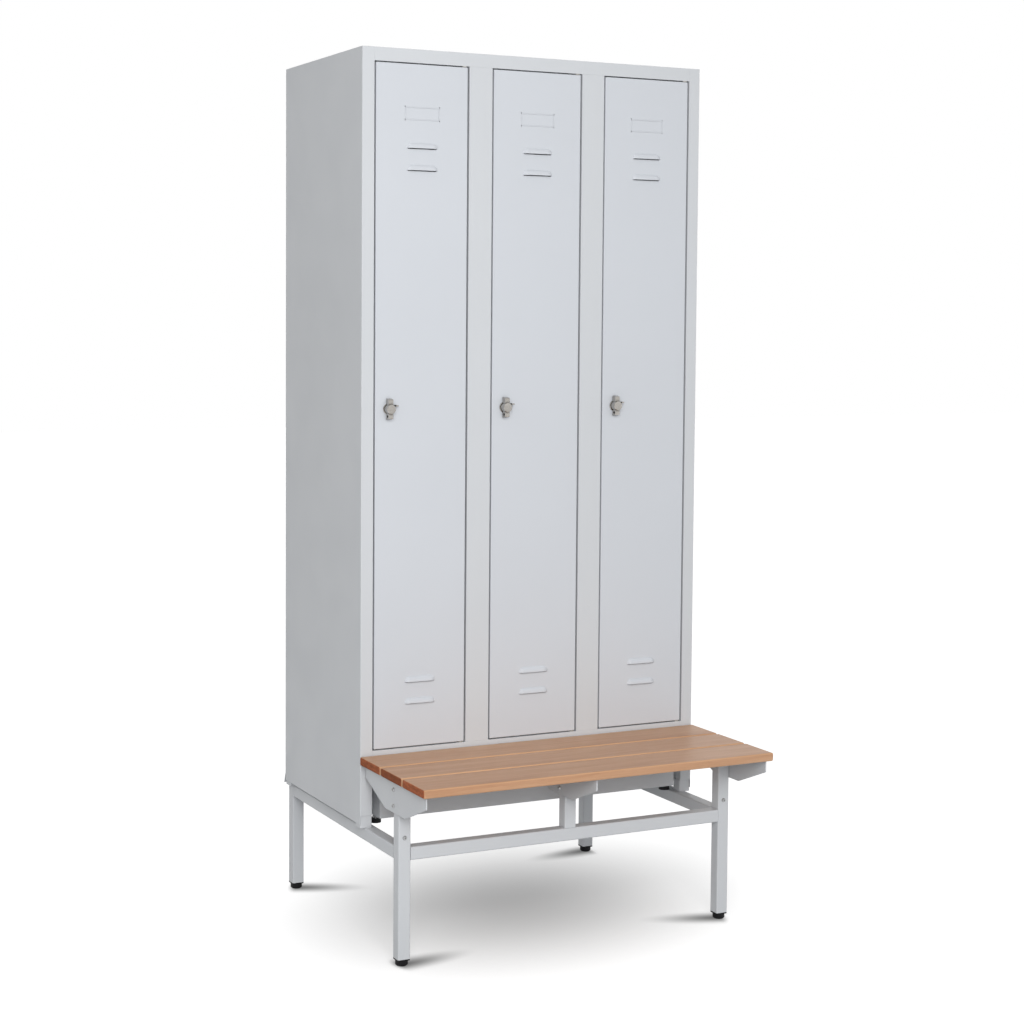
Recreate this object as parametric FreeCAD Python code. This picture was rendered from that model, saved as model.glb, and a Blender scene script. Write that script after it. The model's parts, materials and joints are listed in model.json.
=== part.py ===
import FreeCAD, Part
import math
import os

# Three-door steel changing-room locker on a tube base, with a slatted wooden bench in front.
# Working frame: X from the cabinet's left side, Y from its front plane towards the back, Z from
# the lower edge of its side panels. Every piece is moved at the end, so that the origin lies on
# the floor below the middle of the whole unit. All lengths are in millimetres.

# Cabinet
cabinet_width = 900.0
cabinet_depth = 490.0
cabinet_height = 1790.0
cabinet_lift = 280.0
compartment_names = ("left", "middle", "right")
sheet = 1.0
bend_radius = 1.0
stile_width = 30.0
mullion_width = 60.0
top_rail_height = 31.0
sill_height = 171.0
frame_depth = 20.0
stop_width = 10.0
back_flange_width = 20.0
roof_flange_height = 25.0
bottom_rail_height = 41.0
bottom_rail_return = 25.0
plinth_slot_width = 20.0
plinth_clearance = 9.0
plinth_foot_depth = 55.0
plinth_hem_height = 15.0
back_lip_reach = 10.0
back_lip_height = 20.0
back_lip_drop = 7.5
floor_flange_height = 15.0
partition_fold = 15.0

# Fittings inside each compartment
shelf_drop = 300.0
shelf_setback = 32.0
shelf_lip_height = 20.0
shelf_hem = 12.0
shelf_flange_height = 15.0
rail_drop = 62.0
rail_radius = 9.0
rail_wall = 1.5
rail_cup_radius = 16.0
rail_cup_depth = 4.0

# Doors
door_side_gap = 4.0
door_end_gap = 2.5
door_depth = 17.0
door_edge_radius = 2.0
louvre_width = 78.0
louvre_height = 12.5
louvre_rise = 6.0
louvre_slit = 1.6
louvre_slit_inset = 3.0
louvre_pitch = 50.5
louvre_top_drop = 192.0
louvre_bottom_rise = 102.0
label_width = 87.0
label_height = 30.0
label_drop = 112.5
label_rim_width = 2.2
label_rim_height = 0.6
label_slot_width = 1.2
label_slot_length = 4.0
stiffener_crown = 40.0
stiffener_flange = 15.0
stiffener_height = 12.0
stiffener_end_gap = 60.0

# Hinge pins and their bushes
pin_radius = 2.5
pin_edge_distance = 7.0
pin_setback = 5.0
pin_head_radius = 3.5
pin_head_height = 2.0
pin_reach = 6.0
bush_radius = 4.0
bush_flange_radius = 5.5
bush_length = 7.0

# Padlock turn-latches
lock_distance = 37.0
rose_radius = 13.0
rose_thickness = 2.5
rose_bevel = 1.0
barrel_radius = 9.0
barrel_length = 22.0
spindle_radius = 5.0
lock_nut_flats = 24.0
lock_nut_thickness = 5.0
drum_radius = 11.0
drum_height = 18.0
fin_length = 49.5
fin_front_length = 45.0
fin_thickness = 12.0
fin_height = 13.5
fin_corner_radius = 3.0
fin_edge_radius = 1.2
padlock_hole_radius = 3.25
padlock_hole_distance = 16.5
padlock_hole_height = 10.5
lug_root = 8.0
lug_start = 12.5
lug_end = 20.5
lug_thickness = 3.0
lug_height = 15.5
lug_corner_radius = 3.0
cam_width = 14.0
cam_length = 34.0
cam_thickness = 2.5
cam_corner_radius = 5.0
tang_side = 7.0
rivet_radius = 5.5
rivet_height = 1.5

# Tube base
tube_side = 30.0
tube_wall = 2.0
tube_corner_radius = 3.0
base_inset = 12.5
base_rail_drop = 9.0
front_leg_reach = 193.0
foot_height = 16.0
foot_flange_height = 3.0
foot_pad_radius = 14.5
foot_pad_bevel = 3.0
foot_plug_height = 20.0
post_setback = 2.0
post_rise = 20.0
cabinet_foot_inset = 54.5
cabinet_foot_setback = 37.0
cabinet_foot_radius = 13.5
cabinet_foot_pad_height = 10.0
cabinet_foot_drop = 7.0
cabinet_foot_neck_radius = 7.0
cabinet_foot_stem_radius = 3.0
cabinet_foot_stem_rise = 10.0

# Bench
bench_overhang = 2.0
bench_top = 160.5
bench_gap = 2.0
slat_names = ("rear", "middle", "front")
slat_width = 114.0
slat_gap = 7.0
slat_thickness = 20.0
slat_edge_radius = 4.0
bracket_thickness = 3.0
bracket_length = 334.0
bracket_foot_length = 110.0
bracket_edge_height = 28.0
bracket_height = 73.0
bracket_corner_radius = 3.0
bracket_flange_width = 30.0
bracket_bend_radius = 2.0

# Fasteners
bolt_radius = 3.0
bolt_head_radius = 5.25
bolt_head_top_radius = 3.6
bolt_head_height = 3.3
bolt_socket_flats = 4.0
bolt_socket_depth = 2.0
bolt_nut_flats = 10.0
bolt_nut_thickness = 5.0
bolt_tail = 2.0
bracket_bolt_drops = (20.5, 57.5)
bracket_bolt_setback = 22.0
leg_screw_rise = 22.5
screw_radius = 2.25
screw_head_radius = 4.0
screw_head_height = 3.0
screw_bite = 15.0
screw_spread = 60.0

# Clearances
running_clearance = 0.05
hole_clearance = 0.2
seat_clearance = 0.3
overrun = 1.0
touching = 1e-6
full_turn = 360
hexagon_sides = 6
rectangle_sides = 4

# Places worked out from the sizes above
door_count = len(compartment_names)
opening_width = (cabinet_width - 2 * stile_width - (door_count - 1) * mullion_width) / door_count
door_pitch = opening_width + mullion_width
door_width = opening_width - 2 * door_side_gap
lintel = cabinet_height - top_rail_height
door_bottom = sill_height + door_end_gap
door_top = lintel - door_end_gap
inner_back = cabinet_depth - sheet
floor_level = sill_height - sheet
bottom_rail_base = sill_height - bottom_rail_height
plinth_start = stile_width + plinth_slot_width
shelf_level = cabinet_height - shelf_drop
rail_level = shelf_level - rail_drop
rail_depth = cabinet_depth / 2
opening_starts = [stile_width + index * door_pitch for index in range(door_count)]
mullion_starts = [start + opening_width for start in opening_starts[:-1]]
wall_centres = [start + mullion_width / 2 for start in mullion_starts]
door_middle = stile_width + opening_width / 2
pin_place = stile_width + opening_width - door_side_gap - pin_edge_distance
lock_place = stile_width + lock_distance
lock_level = (door_bottom + door_top) / 2
rose_face = -rose_thickness - seat_clearance
cam_start = barrel_length + seat_clearance
base_rail_top = -base_rail_drop
base_rail_base = base_rail_top - tube_side
base_back = cabinet_depth + back_lip_reach
floor_place = -cabinet_lift
leg_base = floor_place + foot_height
front_leg_front = -front_leg_reach
front_leg_back = front_leg_front + tube_side
leg_middle = front_leg_front + tube_side / 2
bench_underside = bench_top - slat_thickness
flange_underside = bench_underside - bracket_thickness
bracket_grip = bracket_thickness + tube_wall
bench_depth = len(slat_names) * slat_width + (len(slat_names) - 1) * slat_gap
centre_post_start = (cabinet_width - tube_side) / 2
bracket_starts = {
    "left": base_inset - bracket_thickness,
    "centre": centre_post_start - bracket_thickness,
}
centred_offset = (bench_depth + bench_gap - base_back) / 2
to_origin = FreeCAD.Vector(-cabinet_width / 2, centred_offset, cabinet_lift)
along_x = FreeCAD.Vector(1, 0, 0)
along_y = FreeCAD.Vector(0, 1, 0)
along_z = FreeCAD.Vector(0, 0, 1)
parts = {}


# Shared shapes
def point(x, y, z):
    return FreeCAD.Vector(x, y, z)


def block(x_span, y_span, z_span):
    """A box between two places on each axis."""
    size_x = x_span[1] - x_span[0]
    size_y = y_span[1] - y_span[0]
    size_z = z_span[1] - z_span[0]
    return Part.makeBox(size_x, size_y, size_z, point(x_span[0], y_span[0], z_span[0]))


def rod(radius, start, axis, length):
    """A round bar from a start point along an axis."""
    return Part.makeCylinder(radius, length, start, axis)


def bevelled_disc(radius, bevel, start, axis, length):
    """A round disc whose edge at the start point is bevelled."""
    edge = Part.makeCone(radius - bevel, radius, bevel, start, axis)
    disc = rod(radius, start + axis * bevel, axis, length - bevel)
    return edge.fuse(disc)


def mirrored(shape):
    """The same piece for the other side of the cabinet."""
    return shape.mirror(point(cabinet_width / 2, 0, 0), along_x)


def on_plane(plane, across, a, b):
    """A point at flat place (a, b) of a named plane, at a distance across it."""
    if plane == "xy":
        return point(a, b, across)
    if plane == "yz":
        return point(across, a, b)
    return point(a, across, b)


def outline(corners, radii):
    """A closed wire through the corners, each rounded by its own radius."""
    arcs = []
    for index, corner in enumerate(corners):
        to_last = (corners[index - 1] - corner).normalize()
        to_next = (corners[(index + 1) % len(corners)] - corner).normalize()
        half_angle = to_last.getAngle(to_next) / 2
        reach = radii[index] / math.tan(half_angle)
        rise = radii[index] / math.sin(half_angle) - radii[index]
        bisector = (to_last + to_next).normalize()
        arcs.append((corner + to_last * reach, corner + bisector * rise, corner + to_next * reach))
    edges = []
    for index, (start, middle, end) in enumerate(arcs):
        if radii[index] > 0:
            edges.append(Part.Arc(start, middle, end).toShape())
        following = arcs[(index + 1) % len(arcs)][0]
        if end.distanceToPoint(following) > touching:
            edges.append(Part.LineSegment(end, following).toShape())
    return Part.Wire(edges)


def plate(corners, radii, plane, span):
    """A rounded outline of flat (a, b) corners, drawn out between two places across its plane."""
    wire = outline([on_plane(plane, span[0], a, b) for a, b in corners], radii)
    return Part.Face(wire).extrude(on_plane(plane, span[1] - span[0], 0, 0))


def rectangle(a_span, b_span):
    return [
        (a_span[0], b_span[0]),
        (a_span[1], b_span[0]),
        (a_span[1], b_span[1]),
        (a_span[0], b_span[1]),
    ]


def folded(path, plane, span, sharp=()):
    """Sheet bent along a flat path, its thickness on the path's left; sharp bends are welded flush."""
    places = [point(a, b, 0) for a, b in path]
    steps = [(after - before).normalize() for before, after in zip(places, places[1:])]
    far_side = []
    near_radii = []
    far_radii = []
    for index, place in enumerate(places):
        before = steps[max(index - 1, 0)]
        after = steps[min(index, len(steps) - 1)]
        left = point(-before.y - after.y, before.x + after.x, 0)
        far = place + left * (sheet / (1 + before.dot(after)))
        far_side.append((far.x, far.y))
        turn = 0 if index in sharp else before.cross(after).z
        near_radii.append(0 if turn == 0 else bend_radius + (sheet if turn > 0 else 0))
        far_radii.append(0 if turn == 0 else bend_radius + (sheet if turn < 0 else 0))
    return plate(list(path) + far_side[::-1], near_radii + far_radii[::-1], plane, span)


def tube(plane, a_start, b_start, span):
    """Square tube across a plane, with its lower corner at a flat place."""
    outer = rectangle((a_start, a_start + tube_side), (b_start, b_start + tube_side))
    hollow_a = (a_start + tube_wall, a_start + tube_side - tube_wall)
    hollow_b = (b_start + tube_wall, b_start + tube_side - tube_wall)
    hollow = rectangle(hollow_a, hollow_b)
    outside = plate(outer, [tube_corner_radius] * rectangle_sides, plane, span)
    inside = plate(hollow, [tube_corner_radius - tube_wall] * rectangle_sides, plane, span)
    return outside.cut(inside)


def hexagon(centre, axis, across_flats, height):
    """A hexagonal prism along X or Y."""
    corner_distance = across_flats / math.sqrt(3)
    side = along_z
    other = axis.cross(side)
    turns = [2 * math.pi * step / hexagon_sides for step in range(hexagon_sides + 1)]
    corners = [centre + (side * math.cos(t) + other * math.sin(t)) * corner_distance for t in turns]
    return Part.Face(Part.makePolygon(corners)).extrude(axis * height)


def opening_copies(shape):
    """One copy of a piece of the left compartment for every compartment."""
    copies = {}
    for index, name in enumerate(compartment_names):
        copies[name] = shape.translated(along_x * (index * door_pitch))
    return copies


# Cabinet shell
def side_panel():
    path = [
        (back_flange_width, inner_back),
        (0, inner_back),
        (0, 0),
        (stile_width, 0),
        (stile_width, frame_depth),
        (stile_width + stop_width, frame_depth),
    ]
    panel = folded(path, "xy", (0, cabinet_height), sharp=(3,))
    inside = (sheet, stile_width + stop_width + overrun)
    stop = (stile_width, stile_width + stop_width + overrun)
    stop_depth = (frame_depth - overrun, frame_depth + sheet + overrun)
    panel = panel.cut(block(inside, (-overrun, cabinet_depth), (-overrun, post_rise)))
    panel = panel.cut(block(stop, stop_depth, (0, sill_height + stop_width)))
    panel = panel.cut(block(stop, stop_depth, (lintel - stop_width, cabinet_height + overrun)))
    top = (cabinet_height - sheet, cabinet_height + overrun)
    return panel.cut(block(inside, (sheet, cabinet_depth), top))


def without_stops_between_doors(rail, z_span):
    """A front rail whose door stop is cut away behind each mullion."""
    for start in mullion_starts:
        gap = (start, start + mullion_width)
        rail = rail.cut(block(gap, (frame_depth - overrun, frame_depth + sheet + overrun), z_span))
    return rail


def pin_axes():
    return [pin_place + index * door_pitch for index in range(door_count)]


def with_bush_holes(shape, z_span):
    for place in pin_axes():
        start = point(place, pin_setback, z_span[0])
        hole = rod(bush_radius + running_clearance, start, along_z, z_span[1] - z_span[0])
        shape = shape.cut(hole)
    return shape


def roof_panel():
    path = [
        (inner_back, cabinet_height - roof_flange_height),
        (inner_back, cabinet_height),
        (0, cabinet_height),
        (0, lintel),
        (frame_depth, lintel),
        (frame_depth, lintel - stop_width),
    ]
    rail = folded(path, "yz", (stile_width, cabinet_width - stile_width), sharp=(1, 2, 3))
    top = (cabinet_height - sheet, cabinet_height)
    cover = block((sheet, cabinet_width - sheet), (sheet, inner_back), top)
    roof = rail.fuse(cover).removeSplitter()
    roof = without_stops_between_doors(roof, (lintel - stop_width - overrun, lintel))
    return with_bush_holes(roof, (lintel - overrun, lintel + sheet + overrun))


def bottom_rail():
    path = [
        (frame_depth, sill_height + stop_width),
        (frame_depth, sill_height),
        (0, sill_height),
        (0, bottom_rail_base),
        (bottom_rail_return, bottom_rail_base),
    ]
    rail = folded(path, "yz", (stile_width, cabinet_width - stile_width), sharp=(2, 3))
    rail = without_stops_between_doors(rail, (sill_height, sill_height + stop_width + overrun))
    return with_bush_holes(rail, (sill_height - sheet - overrun, sill_height + overrun))


def cabinet_foot_places():
    return [cabinet_foot_inset, cabinet_width - cabinet_foot_inset]


def plinth_panel():
    path = [
        (bottom_rail_return, bottom_rail_base),
        (0, bottom_rail_base),
        (0, plinth_clearance),
        (plinth_foot_depth, plinth_clearance),
        (plinth_foot_depth, plinth_clearance + plinth_hem_height),
    ]
    panel = folded(path, "yz", (plinth_start, cabinet_width - plinth_start), sharp=(1,))
    end = block(
        (plinth_start, plinth_start + sheet),
        (0, plinth_foot_depth),
        (plinth_clearance, bottom_rail_base),
    )
    panel = panel.fuse([end, mirrored(end)]).removeSplitter()
    for place in cabinet_foot_places():
        start = point(place, cabinet_foot_setback, 0)
        panel = panel.cut(rod(cabinet_foot_stem_radius + hole_clearance, start, along_z, sill_height / 2))
    return panel


def back_panel():
    path = [
        (cabinet_depth + back_lip_reach, -back_lip_drop),
        (cabinet_depth, back_lip_height),
        (cabinet_depth, cabinet_height),
    ]
    return folded(path, "yz", (0, cabinet_width))


def floor_panel():
    rear = inner_back - sheet
    path = [(rear, floor_level - floor_flange_height), (rear, floor_level), (sheet, floor_level)]
    panel = folded(path, "yz", (sheet, cabinet_width - sheet))
    around = (floor_level - floor_flange_height - overrun, floor_level + overrun)
    corner = block((0, stile_width), (0, frame_depth + sheet), around)
    panel = panel.cut(corner).cut(mirrored(corner))
    return with_bush_holes(panel, (floor_level - sheet - overrun, floor_level + overrun))


def partition(centre, roof):
    near = centre - sheet / 2
    path = [(near + partition_fold, inner_back), (near, inner_back), (near, frame_depth + sheet)]
    wall = folded(path, "xy", (floor_level, cabinet_height - sheet))
    tongue = block((near, near + sheet), (sheet, frame_depth + sheet), (sill_height, lintel))
    return wall.fuse(tongue).removeSplitter().cut(roof)


def mullion(start):
    end = start + mullion_width
    path = [
        (start - stop_width, frame_depth),
        (start, frame_depth),
        (start, 0),
        (end, 0),
        (end, frame_depth),
        (end + stop_width, frame_depth),
    ]
    post = folded(path, "xy", (sill_height, lintel), sharp=(2, 3))
    stop_depth = (frame_depth - overrun, frame_depth + sheet + overrun)
    for x_span in ((start - stop_width - overrun, start), (end, end + stop_width + overrun)):
        post = post.cut(block(x_span, stop_depth, (sill_height, sill_height + stop_width)))
        post = post.cut(block(x_span, stop_depth, (lintel - stop_width, lintel)))
    return post


# Compartment fittings
def compartment_spans():
    """The clear X span between the walls of each compartment."""
    starts = [sheet] + [centre + sheet / 2 for centre in wall_centres]
    ends = [centre - sheet / 2 for centre in wall_centres] + [cabinet_width - sheet]
    return dict(zip(compartment_names, zip(starts, ends)))


def hat_shelf(x_span):
    rear = inner_back - sheet
    path = [
        (rear, shelf_level - shelf_flange_height),
        (rear, shelf_level),
        (shelf_setback, shelf_level),
        (shelf_setback, shelf_level - shelf_lip_height),
        (shelf_setback + shelf_hem, shelf_level - shelf_lip_height),
    ]
    return folded(path, "yz", x_span)


def coat_rail(x_span):
    """A round tube turned together with its two end cups."""
    bore = rail_radius - rail_wall
    profile = [
        (x_span[0], bore),
        (x_span[0], rail_cup_radius),
        (x_span[0] + rail_cup_depth, rail_cup_radius),
        (x_span[0] + rail_cup_depth, rail_radius),
        (x_span[1] - rail_cup_depth, rail_radius),
        (x_span[1] - rail_cup_depth, rail_cup_radius),
        (x_span[1], rail_cup_radius),
        (x_span[1], bore),
    ]
    corners = [point(x, rail_depth, rail_level + radius) for x, radius in profile]
    face = Part.Face(Part.makePolygon(corners + corners[:1]))
    return face.revolve(point(0, rail_depth, rail_level), along_x, full_turn)


# Doors
def capsule(radius, half_straight, centre):
    """A round-ended bar along X, turned from half of its outline."""
    left = centre - along_x * half_straight
    right = centre + along_x * half_straight
    diagonal = radius / math.sqrt(2)
    left_arc = Part.Arc(
        left - along_x * radius,
        left + point(-diagonal, 0, diagonal),
        left + along_z * radius,
    )
    right_arc = Part.Arc(
        right + along_z * radius,
        right + point(diagonal, 0, diagonal),
        right + along_x * radius,
    )
    top = Part.LineSegment(left + along_z * radius, right + along_z * radius)
    base = Part.LineSegment(right + along_x * radius, left - along_x * radius)
    wire = Part.Wire([left_arc.toShape(), top.toShape(), right_arc.toShape(), base.toShape()])
    return Part.Face(wire).revolve(centre, along_x, full_turn)


def with_louvre(panel, level):
    """A pressed hood on the door skin, with a slit along its lower edge."""
    radius = (louvre_height ** 2 + louvre_rise ** 2) / (2 * louvre_rise)
    centre = point(door_middle, radius - louvre_rise, level)
    half_straight = louvre_width / 2 - louvre_height
    x_span = (door_middle - louvre_width, door_middle + louvre_width)
    z_span = (level, level + louvre_height + sheet)
    outside = block(x_span, (-louvre_rise - overrun, sheet / 2), z_span)
    inside = block(x_span, (-louvre_rise, sheet + overrun), z_span)
    hood = capsule(radius, half_straight, centre).common(outside)
    hollow = capsule(radius - sheet, half_straight, centre).common(inside)
    half_slit = louvre_width / 2 - louvre_slit_inset
    slit = block(
        (door_middle - half_slit, door_middle + half_slit),
        (-overrun, sheet + overrun),
        (level - louvre_slit, level),
    )
    return panel.fuse(hood).cut([hollow, slit])


def with_label_frame(panel):
    """A raised bare rim for a card, with a slit at each corner."""
    middle = door_top - label_drop
    skin = (-label_rim_height, sheet / 2)
    half_width = label_width / 2
    half_height = label_height / 2
    rim = block(
        (door_middle - half_width, door_middle + half_width),
        skin,
        (middle - half_height, middle + half_height),
    )
    inner_width = half_width - label_rim_width
    inner_height = half_height - label_rim_width
    window = block(
        (door_middle - inner_width, door_middle + inner_width),
        skin,
        (middle - inner_height, middle + inner_height),
    )
    panel = panel.fuse(rim.cut(window))
    for side in (-1, 1):
        for end in (-1, 1):
            x = door_middle + side * half_width
            z = middle + end * half_height
            slit = block(
                (x - label_slot_width / 2, x + label_slot_width / 2),
                (-label_rim_height - overrun, sheet + overrun),
                (z - label_slot_length / 2, z + label_slot_length / 2),
            )
            panel = panel.cut(slit)
    return panel


def louvre_levels():
    upper = door_top - louvre_top_drop
    lower = door_bottom + louvre_bottom_rise
    return [upper, upper - louvre_pitch, lower + louvre_pitch, lower]


def door_panel():
    start = stile_width + door_side_gap
    x_span = (start, start + door_width)
    outer = block(x_span, (0, door_depth), (door_bottom, door_top))
    rounded = [e for e in outer.Edges if min(vertex.Y for vertex in e.Vertexes) < touching]
    outer = outer.makeFillet(door_edge_radius, rounded)
    hollow = block(
        (x_span[0] + sheet, x_span[1] - sheet),
        (sheet, door_depth + overrun),
        (door_bottom + sheet, door_top - sheet),
    )
    panel = outer.cut(hollow)
    for level in louvre_levels():
        panel = with_louvre(panel, level)
    panel = with_label_frame(panel)
    lock_axis = point(lock_place, -overrun, lock_level)
    panel = panel.cut(rod(barrel_radius + hole_clearance, lock_axis, along_y, 2 * overrun + sheet))
    pin_axis = point(pin_place, pin_setback, door_bottom - overrun)
    through = door_top - door_bottom + 2 * overrun
    return panel.cut(rod(pin_radius + running_clearance, pin_axis, along_z, through)).removeSplitter()


def door_stiffener():
    """A hat-section rib inside the door, between the lower and the upper louvres."""
    half = stiffener_crown / 2
    path = [
        (door_middle - half - stiffener_flange, sheet),
        (door_middle - half, sheet),
        (door_middle - half, sheet + stiffener_height),
        (door_middle + half, sheet + stiffener_height),
        (door_middle + half, sheet),
        (door_middle + half + stiffener_flange, sheet),
    ]
    levels = louvre_levels()
    z_span = (levels[2] + louvre_height + stiffener_end_gap, levels[1] - stiffener_end_gap)
    return folded(path, "xy", z_span)


def hinge_pins():
    pins = []
    for seat, direction, end in ((door_top, 1, lintel), (door_bottom, -1, sill_height)):
        inner_face = seat - direction * sheet
        axis = along_z * direction
        head_start = point(pin_place, pin_setback, inner_face - direction * pin_head_height)
        head = rod(pin_head_radius, head_start, axis, pin_head_height)
        shank_length = abs(end - inner_face) + pin_reach
        shank = rod(pin_radius, point(pin_place, pin_setback, inner_face), axis, shank_length)
        pins.append(head.fuse(shank).removeSplitter())
    return Part.makeCompound(pins)


def hinge_bushes():
    bushes = []
    flange_height = door_end_gap - seat_clearance
    for place in pin_axes():
        for seat, direction in ((lintel, 1), (sill_height, -1)):
            axis = along_z * direction
            start = point(place, pin_setback, seat - direction * flange_height)
            flange = rod(bush_flange_radius, start, axis, flange_height)
            sleeve = rod(bush_radius, start, axis, flange_height + bush_length)
            bore = rod(pin_radius + running_clearance, start, axis, flange_height + bush_length)
            bushes.append(flange.fuse(sleeve).removeSplitter().cut(bore))
    return Part.makeCompound(bushes)


# Padlock turn-latch
def lock_point(x, y, z):
    return point(lock_place + x, y, lock_level + z)


def lock_rose():
    """The fixed rose with its padlock lug and its threaded barrel."""
    rose = bevelled_disc(rose_radius, rose_bevel, lock_point(0, -rose_thickness, 0), along_y, rose_thickness)
    barrel = rod(barrel_radius, lock_point(0, -rose_thickness, 0), along_y, rose_thickness + barrel_length)
    lug_level = lock_level + fin_thickness / 2 + seat_clearance
    lug_corners = [
        (lock_place + lug_root, -rose_thickness),
        (lock_place + lug_start, -rose_thickness),
        (lock_place + lug_start, -lug_height),
        (lock_place + lug_end, -lug_height),
        (lock_place + lug_end, 0),
        (lock_place + lug_root, 0),
    ]
    lug_radii = [0, 0, lug_corner_radius, lug_corner_radius, 0, 0]
    lug = plate(lug_corners, lug_radii, "xy", (lug_level, lug_level + lug_thickness))
    lug_axis = lock_point(padlock_hole_distance, -padlock_hole_height, 0)
    body = rose.fuse([barrel, lug]).removeSplitter()
    body = body.cut(rod(padlock_hole_radius, lug_axis, along_z, rose_radius))
    bore_length = rose_thickness + barrel_length
    bore_start = lock_point(0, -rose_thickness, 0)
    return body.cut(rod(spindle_radius + running_clearance, bore_start, along_y, bore_length))


def lock_nut():
    nut = hexagon(lock_point(0, sheet, 0), along_y, lock_nut_flats, lock_nut_thickness)
    bore = rod(barrel_radius + running_clearance, lock_point(0, sheet, 0), along_y, lock_nut_thickness)
    return nut.cut(bore)


def lock_handle():
    """The turning finger bar with its drum, spindle, square tang and riveted end."""
    half = fin_length / 2
    half_front = fin_front_length / 2
    fin_front = rose_face - fin_height
    corners = [
        (rose_face, lock_level - half),
        (rose_face, lock_level + half),
        (fin_front, lock_level + half_front),
        (fin_front, lock_level - half_front),
    ]
    corner_radii = [fin_edge_radius, fin_edge_radius, fin_corner_radius, fin_corner_radius]
    x_span = (lock_place - fin_thickness / 2, lock_place + fin_thickness / 2)
    fin = plate(corners, corner_radii, "yz", x_span)
    drum_front = lock_point(0, rose_face - drum_height, 0)
    drum = bevelled_disc(drum_radius, rose_bevel, drum_front, along_y, drum_height)
    spindle = rod(spindle_radius, lock_point(0, rose_face, 0), along_y, barrel_length - rose_face)
    tang_end = cam_start + cam_thickness
    half_tang = tang_side / 2
    tang = block(
        (lock_place - half_tang, lock_place + half_tang),
        (barrel_length - overrun, tang_end),
        (lock_level - half_tang, lock_level + half_tang),
    )
    rivet = rod(rivet_radius, lock_point(0, tang_end, 0), along_y, rivet_height)
    hole_start = lock_point(-fin_thickness, -padlock_hole_height, -padlock_hole_distance)
    hole = rod(padlock_hole_radius, hole_start, along_x, 2 * fin_thickness)
    return fin.fuse([drum, spindle, tang, rivet]).removeSplitter().cut(hole)


def lock_cam():
    """The cam that turns behind the door stop; it stands upright while the door is free."""
    half = cam_width / 2
    corners = rectangle(
        (lock_place - half, lock_place + half),
        (lock_level - half, lock_level + cam_length),
    )
    y_span = (cam_start, cam_start + cam_thickness)
    cam = plate(corners, [cam_corner_radius] * len(corners), "xz", y_span)
    half_hole = tang_side / 2 + running_clearance
    hole = block(
        (lock_place - half_hole, lock_place + half_hole),
        y_span,
        (lock_level - half_hole, lock_level + half_hole),
    )
    return cam.cut(hole)


# Tube base
def bolt(head_seat, axis, grip):
    """A socket-headed bolt with its nut inside the tube; the axis points from the head into the work."""
    head_top = head_seat - axis * bolt_head_height
    head = Part.makeCone(bolt_head_top_radius, bolt_head_radius, bolt_head_height, head_top, axis)
    shank = rod(bolt_radius, head_seat, axis, grip + bolt_nut_thickness + bolt_tail)
    nut = hexagon(head_seat + axis * grip, axis, bolt_nut_flats, bolt_nut_thickness)
    socket = hexagon(head_top, axis, bolt_socket_flats, bolt_socket_depth)
    return head.fuse([shank, nut]).removeSplitter().cut(socket)


def drilled(shape, head_seat, axis, grip):
    """A piece with the clearance hole of one bolt through it."""
    start = head_seat - axis * overrun
    return shape.cut(rod(bolt_radius + hole_clearance, start, axis, grip + 2 * overrun))


def bracket_bolt_seats(bracket_start):
    depth = front_leg_front + bracket_bolt_setback
    return [point(bracket_start, depth, bench_underside - drop) for drop in bracket_bolt_drops]


def leg_screw_seat():
    return point(base_inset + tube_side / 2, front_leg_front, base_rail_top + leg_screw_rise)


def with_bracket_holes(shape, bracket_start):
    for seat in bracket_bolt_seats(bracket_start):
        shape = drilled(shape, seat, along_x, bracket_grip)
    return shape


def front_leg():
    leg = tube("xy", base_inset, front_leg_front, (leg_base, flange_underside))
    leg = with_bracket_holes(leg, bracket_starts["left"])
    return drilled(leg, leg_screw_seat(), along_y, tube_wall)


def rear_leg():
    return tube("xy", base_inset, base_back - tube_side, (leg_base, base_rail_top))


def side_rail():
    return tube("xz", base_inset, base_rail_base, (front_leg_back, base_back - tube_side))


def cross_rail(start):
    inner = base_inset + tube_side
    return tube("yz", start, base_rail_base, (inner, cabinet_width - inner))


def centre_post():
    post = tube("xy", centre_post_start, front_leg_front, (base_rail_top, flange_underside))
    return with_bracket_holes(post, bracket_starts["centre"])


def seat_posts():
    """Stub posts on the side rails; the cabinet's front stiles and rear flanges stand on them."""
    posts = []
    x_span = (sheet, sheet + tube_side)
    for start in (post_setback, inner_back - tube_side):
        post = tube("xy", sheet, start, (base_rail_top, post_rise - sheet))
        cap = block(x_span, (start, start + tube_side), (post_rise - sheet, post_rise))
        capped = post.fuse(cap).removeSplitter()
        posts.append(capped)
        posts.append(mirrored(capped))
    return Part.makeCompound(posts)


def leg_feet():
    """Plastic plugs pushed into the four legs."""
    feet = []
    for depth in (front_leg_front, base_back - tube_side):
        middle = point(base_inset + tube_side / 2, depth + tube_side / 2, floor_place)
        flange_outline = rectangle(
            (base_inset, base_inset + tube_side),
            (depth, depth + tube_side),
        )
        flange_base = leg_base - foot_flange_height
        flange = plate(flange_outline, [tube_corner_radius] * rectangle_sides, "xy", (flange_base, leg_base))
        pad_height = foot_height - foot_flange_height
        pad = bevelled_disc(foot_pad_radius, foot_pad_bevel, middle, along_z, pad_height)
        inset = tube_wall + hole_clearance
        plug = block(
            (base_inset + inset, base_inset + tube_side - inset),
            (depth + inset, depth + tube_side - inset),
            (leg_base, leg_base + foot_plug_height),
        )
        upright = [e for e in plug.Edges if e.BoundBox.ZLength > touching]
        plug = plug.makeFillet(tube_corner_radius - tube_wall, upright)
        foot = pad.fuse([flange, plug]).removeSplitter()
        feet.append(foot)
        feet.append(mirrored(foot))
    return Part.makeCompound(feet)


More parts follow.
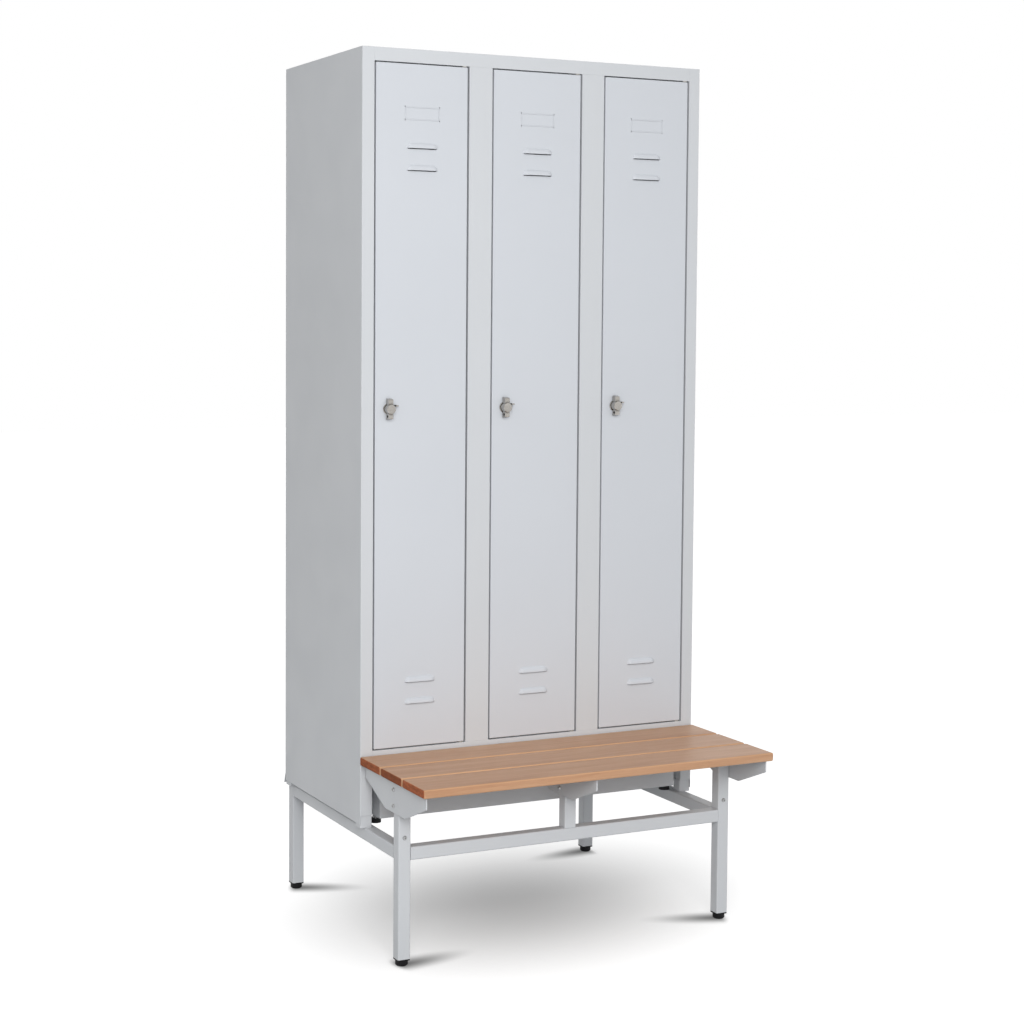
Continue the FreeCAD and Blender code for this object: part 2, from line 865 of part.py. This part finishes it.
def cabinet_feet():
    """The cabinet's own feet, pushed into the plinth's lower fold."""
    feet = []
    for place in cabinet_foot_places():
        base = point(place, cabinet_foot_setback, -cabinet_foot_drop)
        neck_length = cabinet_foot_drop + plinth_clearance
        pad = rod(cabinet_foot_radius, base, along_z, cabinet_foot_pad_height)
        neck = rod(cabinet_foot_neck_radius, base, along_z, neck_length)
        stem = rod(cabinet_foot_stem_radius, base, along_z, neck_length + cabinet_foot_stem_rise)
        feet.append(pad.fuse([neck, stem]).removeSplitter())
    return Part.makeCompound(feet)


# Bench
def slat_start(index):
    return -bench_gap - (index + 1) * slat_width - index * slat_gap


def screw_places():
    """Places of the screws that hold the slats, below the bracket flanges."""
    starts = [bracket_starts["left"], bracket_starts["centre"]]
    middles = [start + bracket_flange_width / 2 for start in starts]
    middles.append(cabinet_width - middles[0])
    places = []
    for x in middles:
        for index in range(len(slat_names)):
            middle = slat_start(index) + slat_width / 2
            for side in (-1, 1):
                places.append(point(x, middle + side * screw_spread / 2, flange_underside))
    return places


def with_screw_holes(shape, radius):
    for place in screw_places():
        shape = shape.cut(rod(radius, place, along_z, bracket_thickness + screw_bite))
    return shape


def bench_slat(index):
    start = slat_start(index)
    slat = block(
        (-bench_overhang, cabinet_width + bench_overhang),
        (start, start + slat_width),
        (bench_underside, bench_top),
    )
    slat = slat.makeFillet(slat_edge_radius, slat.Edges)
    return with_screw_holes(slat, screw_radius + running_clearance)


def slat_screws():
    screws = []
    for place in screw_places():
        head_start = place - along_z * screw_head_height
        head = rod(screw_head_radius, head_start, along_z, screw_head_height)
        shank = rod(screw_radius, place, along_z, bracket_thickness + screw_bite)
        screws.append(head.fuse(shank).removeSplitter())
    return Part.makeCompound(screws)


def bench_bracket(start):
    """A folded plate beside its post, with a flange under the slats."""
    half_top = bracket_length / 2
    half_foot = bracket_foot_length / 2
    shoulder = bench_underside - bracket_edge_height
    foot = bench_underside - bracket_height
    corners = [
        (leg_middle - half_top, bench_underside),
        (leg_middle - half_top, shoulder),
        (leg_middle - half_foot, foot),
        (leg_middle + half_foot, foot),
        (leg_middle + half_top, shoulder),
        (leg_middle + half_top, bench_underside),
    ]
    radii = [0] + [bracket_corner_radius] * (len(corners) - 2) + [0]
    web = plate(corners, radii, "yz", (start, start + bracket_thickness))
    flange = block(
        (start, start + bracket_flange_width),
        (leg_middle - half_top, leg_middle + half_top),
        (flange_underside, bench_underside),
    )
    bracket = web.fuse(flange).removeSplitter()
    bend = []
    for edge in bracket.Edges:
        box = edge.BoundBox
        on_bend = box.XMax < start + touching and box.ZMin > bench_underside - touching
        if on_bend:
            bend.append(edge)
    bracket = bracket.makeFillet(bracket_bend_radius, bend)
    bracket = with_bracket_holes(bracket, start)
    return with_screw_holes(bracket, screw_radius + hole_clearance)


def frame_bolts():
    """Bolts from the brackets into the posts, and one in the front of each front leg."""
    bolts = []
    for seat in bracket_bolt_seats(bracket_starts["left"]):
        side_bolt = bolt(seat, along_x, bracket_grip)
        bolts.append(side_bolt)
        bolts.append(mirrored(side_bolt))
    for seat in bracket_bolt_seats(bracket_starts["centre"]):
        bolts.append(bolt(seat, along_x, bracket_grip))
    leg_bolt = bolt(leg_screw_seat(), along_y, tube_wall)
    bolts.append(leg_bolt)
    bolts.append(mirrored(leg_bolt))
    return Part.makeCompound(bolts)


# Assembly
roof = roof_panel()
left_side = side_panel()
parts["side_panel_left"] = left_side
parts["side_panel_right"] = mirrored(left_side)
parts["roof_panel"] = roof
parts["back_panel"] = back_panel()
parts["floor_panel"] = floor_panel()
parts["bottom_rail"] = bottom_rail()
parts["plinth_panel"] = plinth_panel()
for side_name, centre, start in zip(("left", "right"), wall_centres, mullion_starts):
    parts["partition_" + side_name] = partition(centre, roof)
    parts["mullion_" + side_name] = mullion(start)

for name, x_span in compartment_spans().items():
    parts["hat_shelf_" + name] = hat_shelf(x_span)
    parts["coat_rail_" + name] = coat_rail(x_span)

door_pieces = {
    "door_panel": door_panel(),
    "door_stiffener": door_stiffener(),
    "hinge_pins": hinge_pins(),
    "lock_rose": lock_rose(),
    "lock_nut": lock_nut(),
    "lock_handle": lock_handle(),
    "lock_cam": lock_cam(),
}
for piece_name, piece in door_pieces.items():
    for name, copy in opening_copies(piece).items():
        parts[piece_name + "_" + name] = copy
parts["hinge_bushes"] = hinge_bushes()

left_front_leg = front_leg()
left_rear_leg = rear_leg()
left_rail = side_rail()
parts["front_leg_left"] = left_front_leg
parts["front_leg_right"] = mirrored(left_front_leg)
parts["rear_leg_left"] = left_rear_leg
parts["rear_leg_right"] = mirrored(left_rear_leg)
parts["side_rail_left"] = left_rail
parts["side_rail_right"] = mirrored(left_rail)
parts["front_cross_rail"] = cross_rail(front_leg_front)
parts["rear_cross_rail"] = cross_rail(base_back - tube_side)
parts["centre_post"] = centre_post()
parts["seat_posts"] = seat_posts()
parts["leg_feet"] = leg_feet()
parts["cabinet_feet"] = cabinet_feet()

left_bracket = bench_bracket(bracket_starts["left"])
parts["bench_bracket_left"] = left_bracket
parts["bench_bracket_right"] = mirrored(left_bracket)
parts["bench_bracket_centre"] = bench_bracket(bracket_starts["centre"])
for index, slat_name in enumerate(slat_names):
    parts["bench_slat_" + slat_name] = bench_slat(index)
parts["slat_screws"] = slat_screws()
parts["frame_bolts"] = frame_bolts()

os.makedirs("parts", exist_ok=True)
for node_name, shape in parts.items():
    placed = shape.translated(to_origin)
    placed.exportStep("parts/" + node_name + ".step")
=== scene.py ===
import json
import math

import bpy
from mathutils import Matrix, Vector


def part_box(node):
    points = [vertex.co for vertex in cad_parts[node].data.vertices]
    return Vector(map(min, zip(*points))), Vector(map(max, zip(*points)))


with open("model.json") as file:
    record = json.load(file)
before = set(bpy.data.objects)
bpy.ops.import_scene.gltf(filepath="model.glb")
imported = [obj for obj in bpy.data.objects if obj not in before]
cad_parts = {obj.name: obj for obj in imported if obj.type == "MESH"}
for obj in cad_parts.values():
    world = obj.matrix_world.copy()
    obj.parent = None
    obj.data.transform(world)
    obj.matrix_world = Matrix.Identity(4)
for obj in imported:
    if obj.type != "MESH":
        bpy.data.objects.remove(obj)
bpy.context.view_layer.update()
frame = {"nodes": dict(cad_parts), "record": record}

# Three-door steel locker on a tube base with a slatted bench, photographed in a white studio.
# Lengths are in metres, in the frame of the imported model, and angles in radians.

# Camera, fitted to the photograph; image, focal length and centre in its pixels, sensor in millimetres
CAMERA_PLACE = Vector((-2.1932, -4.22575, 1.4567))
CAMERA_YAW = -0.4474
CAMERA_PITCH = -0.0606
CAMERA_ROLL = 0.0062
IMAGE_SIZE = 1024
FOCAL_PIXELS = 1967.0
CENTRE_PIXEL = (459.8, 436.8)
SENSOR_WIDTH = 36.0

# Light of the room and of the key lamp
WHITE = (1.0, 1.0, 1.0)
HORIZON_STRENGTH = 0.75
ZENITH_STRENGTH = 0.34
KEY_PLACE = Vector((-1.6, -3.9, 2.2))
KEY_TARGET = Vector((0.0, 0.0, 1.5))
KEY_SIZE = 2.4
KEY_POWER = 122.0

# Floor: a painted shadow, where its own glow is lowest in an oval below the unit, and a painted dark
# shadow tail at each foot
FLOOR_SIZE = 40.0
FLOOR_ALBEDO = 0.48
FLOOR_BOUNCE = (0.46, 0.46, 0.46)
SHADOW_CENTRE = (0.018, 0.052, 0.0)
SHADOW_TURN = 0.36
SHADOW_REACH = (0.925, 0.714, 1.0)
SHADOW_LIFT = 0.22
OPEN_LIFT = 0.85
FOOT_TAIL_TURNS = {
    "front_leg_left": 0.135,
    "front_leg_right": math.pi - 0.320,
    "rear_leg_left": -0.424,
    "rear_leg_right": math.pi + 0.130,
}
FOOT_TAIL_REACH = (0.210, 0.058, 1.0)
FOOT_HEAD_RANGE = (-1.0, 0.0)
FOOT_HEAD_STEEPNESS = 8.0
FOOT_SHADE = 0.20

# Finishes, as linear colours
DOOR_GREY = (0.600, 0.625, 0.665)
SHELL_GREY = (0.600, 0.620, 0.645)
WOOD_LIGHT = (0.625, 0.385, 0.237)
WOOD_DARK = (0.449, 0.233, 0.126)
WOOD_EDGE_HIGHLIGHT = (0.740, 0.440, 0.230)
END_GRAIN = (0.325, 0.101, 0.046)
BLACK_PLASTIC = (0.007, 0.007, 0.008)
WHITE_NYLON = (0.420, 0.410, 0.385)
NICKEL = (0.480, 0.458, 0.428)
ZINC = (0.520, 0.525, 0.530)

# Shares of a finish's colour in its patches, pores and painted crease shade; the boards are front,
# middle and rear
PAINT_CLOUD_SHARES = (0.975, 1.02)
PAINT_CREASE_SHADE = 0.90
WOOD_PORE_SHARE = 0.55
RING_SHARES = (0.75, 1.30)
PLATING_PATCH_SHARE = 0.80
NICKEL_CREASE_SHADE = 0.12
ZINC_CREASE_SHADE = 0.75
PLASTIC_DUST_SHARE = 2.2
BOARD_END_SHARES = (1.12, 0.74, 1.0)

# The most that a second colour covers of the first
FINE_GRAIN_COVER = 0.45
PORE_COVER = 0.50
WOOD_HIGHLIGHT_COVER = 0.28
DUST_COVER = 0.35

# Roughness of the smoothest and of the roughest patches, and specular level
PAINT_ROUGHNESS = (0.36, 0.48)
WOOD_ROUGHNESS = (0.33, 0.45)
END_GRAIN_ROUGHNESS = (0.70, 0.85)
NICKEL_ROUGHNESS = (0.14, 0.28)
ZINC_ROUGHNESS = (0.45, 0.60)
PLASTIC_ROUGHNESS = (0.50, 0.65)
PAINT_SPECULAR = 0.40
WOOD_SPECULAR = 0.35
END_GRAIN_SPECULAR = 0.12
PLASTIC_SPECULAR = 0.20

# Depths of fine relief
PEEL_DEPTH = 0.00006
WOOD_DEPTH = 0.00005
RING_DEPTH = 0.0001
SCRATCH_DEPTH = 0.00002
PLASTIC_DEPTH = 0.00004

# Radii of softened edges and reach of painted crease shade, and the samples that are taken for each
PAINT_EDGE_RADIUS = 0.0012
PLATING_EDGE_RADIUS = 0.0006
EDGE_SAMPLES = 4
PAINT_CREASE_REACH = 0.010
PLATING_CREASE_REACH = 0.006
CREASE_SAMPLES = 8

# Stretch of grain along X, Y and Z, and how far each board's grain is shifted from the one before
FIGURE_STRETCH = (1.4, 26.0, 26.0)
FINE_GRAIN_STRETCH = (9.0, 420.0, 420.0)
PORE_STRETCH = (30.0, 1500.0, 1500.0)
RING_STRETCH = (0.0, 60.0, 160.0)
SCRATCH_STRETCH = (900.0, 900.0, 160.0)
BOARD_SHIFT = Vector((3.7, 0.9, 0.4))

# Ranges of values that are spread to another range; most of a noise lies in the first
NOISE_RANGE = (0.3, 0.7)
SPECK_RANGE = (0.35, 0.65)
FIGURE_RANGE = (0.28, 0.72)
FINE_GRAIN_RANGE = (0.25, 0.75)
PORE_RANGE = (0.62, 0.75)
DUST_RANGE = (0.45, 0.80)
PAINT_CREASE_RANGE = (0.50, 0.95)
PLATING_CREASE_RANGE = (0.40, 1.0)
ROUNDING_RANGE = (0.02, 0.20)
FULL_RANGE = (0.0, 1.0)

# Faces that get the second finish of their node
END_FACING = 0.7
FOOT_PAD_HEIGHT = 0.0101
SECOND_FINISH = 1

# Colour sockets of a mix node
MIX_COLOURS = (6, 7)
MIX_RESULT = 2


# Node helpers
def emptied(block):
    """The node tree of a new material or world, with nothing in it."""
    block.use_nodes = True
    block.node_tree.nodes.clear()
    return block.node_tree


def start_material(name):
    """A new material with one principled shader."""
    material = bpy.data.materials.new(name)
    tree = emptied(material)
    output = tree.nodes.new("ShaderNodeOutputMaterial")
    shader = tree.nodes.new("ShaderNodeBsdfPrincipled")
    tree.links.new(shader.outputs["BSDF"], output.inputs["Surface"])
    return material, tree, shader


def object_place(tree, stretch=(1.0, 1.0, 1.0), shift=(0.0, 0.0, 0.0)):
    """Places on the object at rest, stretched along its axes for grain."""
    place = tree.nodes.new("ShaderNodeTexCoord")
    mapping = tree.nodes.new("ShaderNodeMapping")
    mapping.inputs["Scale"].default_value = stretch
    mapping.inputs["Location"].default_value = shift
    tree.links.new(place.outputs["Object"], mapping.inputs["Vector"])
    return mapping.outputs["Vector"]


def noise(tree, place, scale=1.0, detail=3.0, roughness=0.5, distortion=0.0):
    """Cloudy noise, finer at a larger scale."""
    node = tree.nodes.new("ShaderNodeTexNoise")
    node.inputs["Scale"].default_value = scale
    node.inputs["Detail"].default_value = detail
    node.inputs["Roughness"].default_value = roughness
    node.inputs["Distortion"].default_value = distortion
    tree.links.new(place, node.inputs["Vector"])
    return node.outputs["Fac"]


def graded(tree, value, source, target, curve="LINEAR"):
    """A value spread from one range to another, held at both ends."""
    node = tree.nodes.new("ShaderNodeMapRange")
    node.interpolation_type = curve
    node.inputs["From Min"].default_value = source[0]
    node.inputs["From Max"].default_value = source[1]
    node.inputs["To Min"].default_value = target[0]
    node.inputs["To Max"].default_value = target[1]
    tree.links.new(value, node.inputs["Value"])
    return node.outputs["Result"]


def combined(tree, operation, first, second):
    """Two values joined by the named operation."""
    node = tree.nodes.new("ShaderNodeMath")
    node.operation = operation
    tree.links.new(first, node.inputs[0])
    tree.links.new(second, node.inputs[1])
    return node.outputs["Value"]


def split_axes(tree, vector):
    """The sockets of a vector's X, Y and Z."""
    node = tree.nodes.new("ShaderNodeSeparateXYZ")
    tree.links.new(vector, node.inputs["Vector"])
    return node.outputs


def vector_length(tree, vector):
    """How long a vector is."""
    node = tree.nodes.new("ShaderNodeVectorMath")
    node.operation = "LENGTH"
    tree.links.new(vector, node.inputs[0])
    return node.outputs["Value"]


def shaded(colour, share):
    """A colour made darker or lighter."""
    return tuple(channel * share for channel in colour)


def blended(tree, factor, first, second):
    """Two colours, each a value or a socket, mixed by a factor socket."""
    node = tree.nodes.new("ShaderNodeMix")
    node.data_type = "RGBA"
    tree.links.new(factor, node.inputs["Factor"])
    for index, colour in zip(MIX_COLOURS, (first, second)):
        if isinstance(colour, tuple):
            node.inputs[index].default_value = (*colour, 1.0)
        else:
            tree.links.new(colour, node.inputs[index])
    return node.outputs[MIX_RESULT]


def mixed_shaders(tree, factor, first, second):
    """Two shaders mixed by a factor socket."""
    node = tree.nodes.new("ShaderNodeMixShader")
    tree.links.new(factor, node.inputs["Fac"])
    tree.links.new(first, node.inputs[1])
    tree.links.new(second, node.inputs[2])
    return node.outputs["Shader"]


def bumped(tree, height, depth, normal=None):
    """A surface normal from a height of the given depth."""
    node = tree.nodes.new("ShaderNodeBump")
    node.inputs["Distance"].default_value = depth
    tree.links.new(height, node.inputs["Height"])
    if normal is not None:
        tree.links.new(normal, node.inputs["Normal"])
    return node.outputs["Normal"]


def crease_shade_mask(tree, reach):
    """One on open surfaces, falling towards zero in corners and gaps; the mask for painted shade."""
    node = tree.nodes.new("ShaderNodeAmbientOcclusion")
    node.samples = CREASE_SAMPLES
    node.inputs["Distance"].default_value = reach
    return node.outputs["AO"]


def rounded_edges(tree):
    """One along the middle of edges rounded about X, zero on flat faces; the mask for a painted
    highlight.
    """
    geometry = tree.nodes.new("ShaderNodeNewGeometry")
    axes = split_axes(tree, geometry.outputs["Normal"])
    product = combined(tree, "MULTIPLY", axes["Y"], axes["Z"])
    return graded(tree, combined(tree, "MULTIPLY", product, product), ROUNDING_RANGE, FULL_RANGE)


def softened_edges(tree, radius):
    """Normals of slightly rounded edges."""
    node = tree.nodes.new("ShaderNodeBevel")
    node.samples = EDGE_SAMPLES
    node.inputs["Radius"].default_value = radius
    return node.outputs["Normal"]


def seen_directly(tree):
    """One for camera, glossy and transmission rays, else zero."""
    path = tree.nodes.new("ShaderNodeLightPath")
    seen = combined(tree, "MAXIMUM", path.outputs["Is Camera Ray"], path.outputs["Is Glossy Ray"])
    return combined(tree, "MAXIMUM", seen, path.outputs["Is Transmission Ray"])


# Materials
def powder_coat(name, colour):
    """Satin powder coat: orange peel, faint clouding, slightly uneven gloss and painted shade in
    creases.
    """
    material, tree, shader = start_material(name)
    place = object_place(tree)
    clouds = graded(tree, noise(tree, place, scale=3.5, detail=4.0), NOISE_RANGE, FULL_RANGE)
    dull, bright = PAINT_CLOUD_SHARES
    tint = blended(tree, clouds, shaded(colour, dull), shaded(colour, bright))
    specks = graded(tree, noise(tree, place, scale=1400.0, detail=1.0), SPECK_RANGE, FULL_RANGE)
    tint = blended(tree, specks, tint, colour)
    # Painted shade: the colour is darkened in corners, gaps and creases, where shade falls
    openness = graded(tree, crease_shade_mask(tree, PAINT_CREASE_REACH), PAINT_CREASE_RANGE, FULL_RANGE)
    tint = blended(tree, openness, shaded(colour, PAINT_CREASE_SHADE), tint)
    tree.links.new(tint, shader.inputs["Base Color"])
    smears = noise(tree, place, scale=9.0, detail=5.0, distortion=0.4)
    tree.links.new(graded(tree, smears, NOISE_RANGE, PAINT_ROUGHNESS), shader.inputs["Roughness"])
    shader.inputs["Specular IOR Level"].default_value = PAINT_SPECULAR
    peel = noise(tree, place, scale=650.0, detail=2.0)
    normal = bumped(tree, peel, PEEL_DEPTH, softened_edges(tree, PAINT_EDGE_RADIUS))
    tree.links.new(normal, shader.inputs["Normal"])
    return material


def lacquered_wood(name, shift):
    """Stained wood with its grain along X under a clear satin lacquer, with a painted highlight along
    its rounded edges.
    """
    material, tree, shader = start_material(name)
    along = object_place(tree, FIGURE_STRETCH, shift)
    figure = noise(tree, along, scale=1.6, detail=5.0, roughness=0.62, distortion=0.7)
    fine = noise(tree, object_place(tree, FINE_GRAIN_STRETCH, shift), detail=4.0, roughness=0.7)
    pores = noise(tree, object_place(tree, PORE_STRETCH, shift), detail=2.0)
    figured = graded(tree, figure, FIGURE_RANGE, FULL_RANGE)
    tone = blended(tree, figured, WOOD_DARK, WOOD_LIGHT)
    streaked = graded(tree, fine, FINE_GRAIN_RANGE, (0.0, FINE_GRAIN_COVER))
    tone = blended(tree, streaked, tone, WOOD_DARK)
    pored = graded(tree, pores, PORE_RANGE, (0.0, PORE_COVER))
    tone = blended(tree, pored, tone, shaded(WOOD_DARK, WOOD_PORE_SHARE))
    # Painted highlight: the rounded edges of each board are lightened where light would catch them
    edge_highlight = graded(tree, rounded_edges(tree), FULL_RANGE, (0.0, WOOD_HIGHLIGHT_COVER))
    tone = blended(tree, edge_highlight, tone, WOOD_EDGE_HIGHLIGHT)
    tree.links.new(tone, shader.inputs["Base Color"])
    tree.links.new(graded(tree, fine, NOISE_RANGE, WOOD_ROUGHNESS), shader.inputs["Roughness"])
    shader.inputs["Specular IOR Level"].default_value = WOOD_SPECULAR
    tree.links.new(bumped(tree, fine, WOOD_DEPTH), shader.inputs["Normal"])
    return material


def end_grain(name, colour):
    """Dark, thirsty end grain with growth rings."""
    material, tree, shader = start_material(name)
    rings = noise(tree, object_place(tree, RING_STRETCH), detail=4.0, distortion=0.5)
    late, early = RING_SHARES
    ringed = graded(tree, rings, NOISE_RANGE, FULL_RANGE)
    tone = blended(tree, ringed, shaded(colour, late), shaded(colour, early))
    tree.links.new(tone, shader.inputs["Base Color"])
    tree.links.new(graded(tree, rings, NOISE_RANGE, END_GRAIN_ROUGHNESS), shader.inputs["Roughness"])
    shader.inputs["Specular IOR Level"].default_value = END_GRAIN_SPECULAR
    tree.links.new(bumped(tree, rings, RING_DEPTH), shader.inputs["Normal"])
    return material


def plated_metal(name, colour, roughness, crease_shade):
    """Plated metal with fine scratches, patches of uneven gloss and painted shade in corners."""
    material, tree, shader = start_material(name)
    patches = noise(tree, object_place(tree), scale=60.0, detail=4.0)
    scratches = noise(tree, object_place(tree, SCRATCH_STRETCH))
    patched = graded(tree, patches, NOISE_RANGE, FULL_RANGE)
    tint = blended(tree, patched, shaded(colour, PLATING_PATCH_SHARE), colour)
    # Painted shade: the colour is darkened in corners and recesses, where shade falls
    openness = graded(tree, crease_shade_mask(tree, PLATING_CREASE_REACH), PLATING_CREASE_RANGE, FULL_RANGE)
    tint = blended(tree, openness, shaded(colour, crease_shade), tint)
    tree.links.new(tint, shader.inputs["Base Color"])
    shader.inputs["Metallic"].default_value = 1.0
    tree.links.new(graded(tree, scratches, NOISE_RANGE, roughness), shader.inputs["Roughness"])
    normal = bumped(tree, scratches, SCRATCH_DEPTH, softened_edges(tree, PLATING_EDGE_RADIUS))
    tree.links.new(normal, shader.inputs["Normal"])
    return material


def moulded_plastic(name, colour):
    """Moulded plastic with a fine spark-eroded grain and dusty patches."""
    material, tree, shader = start_material(name)
    place = object_place(tree)
    dust = noise(tree, place, scale=45.0, detail=5.0)
    dusted = graded(tree, dust, DUST_RANGE, (0.0, DUST_COVER))
    tint = blended(tree, dusted, colour, shaded(colour, PLASTIC_DUST_SHARE))
    tree.links.new(tint, shader.inputs["Base Color"])
    tree.links.new(graded(tree, dust, NOISE_RANGE, PLASTIC_ROUGHNESS), shader.inputs["Roughness"])
    shader.inputs["Specular IOR Level"].default_value = PLASTIC_SPECULAR
    grain = noise(tree, place, scale=1500.0, detail=2.0)
    tree.links.new(bumped(tree, grain, PLASTIC_DEPTH), shader.inputs["Normal"])
    return material


# Nodes and their finishes
def assign(material, nodes):
    """Gives the named nodes a material in place of what they had."""
    for name in nodes:
        mesh = frame["nodes"][name].data
        mesh.materials.clear()
        mesh.materials.append(material)


def plate_foot_stems(metal):
    """The levelling feet below the plinth have a metal stem above their pad."""
    mesh = frame["nodes"]["cabinet_feet"].data
    mesh.materials.append(metal)
    pad_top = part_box("cabinet_feet")[0][2] + FOOT_PAD_HEIGHT
    for face in mesh.polygons:
        if face.center.z > pad_top:
            face.material_index = SECOND_FINISH


def dress_board(index, name):
    """Wood with its own grain for one bench board, and end grain on its two ends."""
    assign(lacquered_wood("wood_" + str(index), BOARD_SHIFT * index), [name])
    mesh = frame["nodes"][name].data
    end_colour = shaded(END_GRAIN, BOARD_END_SHARES[index])
    mesh.materials.append(end_grain("end_grain_" + str(index), end_colour))
    for face in mesh.polygons:
        if abs(face.normal.x) > END_FACING:
            face.material_index = SECOND_FINISH


def dress_nodes():
    """Gives every node the finish of its material slot."""
    by_slot = {}
    for part in frame["record"]["subparts"]:
        by_slot.setdefault(part["material_slot"], []).append(part["node"])
    assign(powder_coat("shell_paint", SHELL_GREY), by_slot["painted_steel"])
    assign(powder_coat("door_paint", DOOR_GREY), by_slot["door_paint"])
    assign(moulded_plastic("black_plastic", BLACK_PLASTIC), by_slot["black_plastic"])
    assign(moulded_plastic("white_nylon", WHITE_NYLON), by_slot["white_nylon"])
    nickel = plated_metal("nickel", NICKEL, NICKEL_ROUGHNESS, NICKEL_CREASE_SHADE)
    assign(nickel, by_slot["nickel"])
    zinc = plated_metal("zinc", ZINC, ZINC_ROUGHNESS, ZINC_CREASE_SHADE)
    assign(zinc, by_slot["zinc_steel"])
    plate_foot_stems(zinc)
    for index, name in enumerate(by_slot["bench_wood"]):
        dress_board(index, name)


# Studio
def floor_oval(tree, centre, turn, reach):
    """Place on the floor as seen from the centre of an oval, one long at its rim."""
    geometry = tree.nodes.new("ShaderNodeNewGeometry")
    oval = tree.nodes.new("ShaderNodeMapping")
    oval.vector_type = "TEXTURE"
    oval.inputs["Location"].default_value = centre
    oval.inputs["Rotation"].default_value = (0.0, 0.0, turn)
    oval.inputs["Scale"].default_value = reach
    tree.links.new(geometry.outputs["Position"], oval.inputs["Vector"])
    return oval.outputs["Vector"]


def foot_shade(tree, leg, turn):
    """Contact shadow of a foot: darkest at the foot, with a tail drawn out to one side."""
    low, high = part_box(leg)
    centre = ((low[0] + high[0]) / 2, (low[1] + high[1]) / 2, 0.0)
    axes = split_axes(tree, floor_oval(tree, centre, turn, FOOT_TAIL_REACH))
    head = graded(tree, axes["X"], FOOT_HEAD_RANGE, (FOOT_HEAD_STEEPNESS, 0.0))
    joined = tree.nodes.new("ShaderNodeCombineXYZ")
    tree.links.new(combined(tree, "MAXIMUM", axes["X"], head), joined.inputs["X"])
    tree.links.new(axes["Y"], joined.inputs["Y"])
    away = vector_length(tree, joined.outputs["Vector"])
    return graded(tree, away, FULL_RANGE, (FOOT_SHADE, 1.0), "SMOOTHSTEP")


def floor_material():
    """White with soft shadows where it is seen, and a plain grey where it only passes light on."""
    material = bpy.data.materials.new("floor_white")
    tree = emptied(material)
    output = tree.nodes.new("ShaderNodeOutputMaterial")
    diffuse = tree.nodes.new("ShaderNodeBsdfDiffuse")
    bounce = tree.nodes.new("ShaderNodeBsdfDiffuse")
    bounce.inputs["Color"].default_value = (*FLOOR_BOUNCE, 1.0)
    glow = tree.nodes.new("ShaderNodeEmission")
    away = vector_length(tree, floor_oval(tree, SHADOW_CENTRE, SHADOW_TURN, SHADOW_REACH))
    lift = graded(tree, away, FULL_RANGE, (SHADOW_LIFT, OPEN_LIFT), "SMOOTHSTEP")
    shade, *others = [foot_shade(tree, leg, turn) for leg, turn in FOOT_TAIL_TURNS.items()]
    for other in others:
        shade = combined(tree, "MULTIPLY", shade, other)
    tree.links.new(combined(tree, "MULTIPLY", lift, shade), glow.inputs["Strength"])
    tree.links.new(graded(tree, shade, FULL_RANGE, (0.0, FLOOR_ALBEDO)), diffuse.inputs["Color"])
    lifted = tree.nodes.new("ShaderNodeAddShader")
    tree.links.new(diffuse.outputs["BSDF"], lifted.inputs[0])
    tree.links.new(glow.outputs["Emission"], lifted.inputs[1])
    surface = mixed_shaders(tree, seen_directly(tree), bounce.outputs["BSDF"], lifted.outputs["Shader"])
    tree.links.new(surface, output.inputs["Surface"])
    return material


def make_floor():
    """A wide floor below the unit."""
    half = FLOOR_SIZE / 2
    mesh = bpy.data.meshes.new("floor")
    corners = [(-half, -half, 0), (half, -half, 0), (half, half, 0), (-half, half, 0)]
    mesh.from_pydata(corners, [], [(0, 1, 2, 3)])
    floor = bpy.data.objects.new("floor", mesh)
    bpy.context.collection.objects.link(floor)
    mesh.materials.append(floor_material())


def make_world():
    """A white room, dimmer overhead, shown as plain white behind the object."""
    world = bpy.data.worlds.new("studio")
    tree = emptied(world)
    output = tree.nodes.new("ShaderNodeOutputWorld")
    fill = tree.nodes.new("ShaderNodeBackground")
    white = tree.nodes.new("ShaderNodeBackground")
    fill.inputs["Color"].default_value = (*WHITE, 1.0)
    white.inputs["Color"].default_value = (*WHITE, 1.0)
    direction = tree.nodes.new("ShaderNodeTexCoord")
    axes = split_axes(tree, direction.outputs["Generated"])
    level = graded(tree, axes["Z"], FULL_RANGE, (HORIZON_STRENGTH, ZENITH_STRENGTH))
    tree.links.new(level, fill.inputs["Strength"])
    seen = seen_directly(tree)
    room = mixed_shaders(tree, seen, fill.outputs["Background"], white.outputs["Background"])
    tree.links.new(room, output.inputs["Surface"])
    bpy.context.scene.world = world


def make_key_light():
    """A large round lamp in front, to the left, that isn't mirrored in the unit."""
    light = bpy.data.lights.new("key", "AREA")
    light.shape = "DISK"
    light.size = KEY_SIZE
    light.energy = KEY_POWER
    lamp = bpy.data.objects.new("key", light)
    lamp.location = KEY_PLACE
    lamp.visible_glossy = False
    lamp.rotation_euler = (KEY_TARGET - KEY_PLACE).to_track_quat("-Z", "Y").to_euler()
    bpy.context.collection.objects.link(lamp)


def make_camera():
    """A camera where the photograph was taken from."""
    data = bpy.data.cameras.new("camera")
    data.sensor_width = SENSOR_WIDTH
    data.lens = FOCAL_PIXELS / IMAGE_SIZE * SENSOR_WIDTH
    data.shift_x = (IMAGE_SIZE / 2 - CENTRE_PIXEL[0]) / IMAGE_SIZE
    data.shift_y = (CENTRE_PIXEL[1] - IMAGE_SIZE / 2) / IMAGE_SIZE
    camera = bpy.data.objects.new("camera", data)
    turn = Matrix.Rotation(CAMERA_YAW, 4, "Z") @ Matrix.Rotation(math.pi / 2 + CAMERA_PITCH, 4, "X")
    camera.matrix_world = Matrix.Translation(CAMERA_PLACE) @ turn @ Matrix.Rotation(CAMERA_ROLL, 4, "Z")
    bpy.context.collection.objects.link(camera)
    bpy.context.scene.camera = camera


dress_nodes()
make_floor()
make_world()
make_key_light()
make_camera()
bpy.context.scene.view_settings.view_transform = "Standard"
